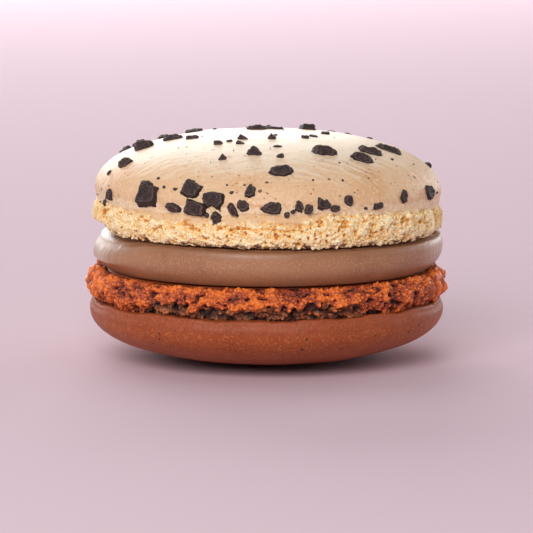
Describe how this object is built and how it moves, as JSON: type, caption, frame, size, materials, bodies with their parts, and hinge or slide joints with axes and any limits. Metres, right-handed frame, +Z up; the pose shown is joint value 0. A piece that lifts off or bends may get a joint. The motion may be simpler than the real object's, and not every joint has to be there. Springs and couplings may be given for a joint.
{
  "type": "french macaron",
  "caption": "Round sandwich biscuit: cream almond shell with dark cookie shards, ganache layer, and red-brown almond shell with a craggy foot.",
  "frame": {"origin": "middle of the small flat spot on the lower shell's crown that the macaron stands on", "axes": "+Z up through both shells; -Y faces the viewer of the picture, +X to the viewer's right"},
  "size_m": [0.0461, 0.0462, 0.0294],
  "materials": {
    "brown_shell": "baked almond meringue, smooth satin crown and rough crumbly foot",
    "ganache": "soft milk chocolate ganache, satin",
    "cream_shell": "baked almond meringue, satin skin with dark cookie shards and a rough crumbly foot",
    "dark_cookie": "the shards baked into the cream shell's skin: dark cocoa cookie, matte with a fine broken grain"
  },
  "bodies": {
    "root": {"bottom_shell": "brown_shell", "ganache_filling": "ganache", "top_shell": "cream_shell"}
  },
  "joints": []
}
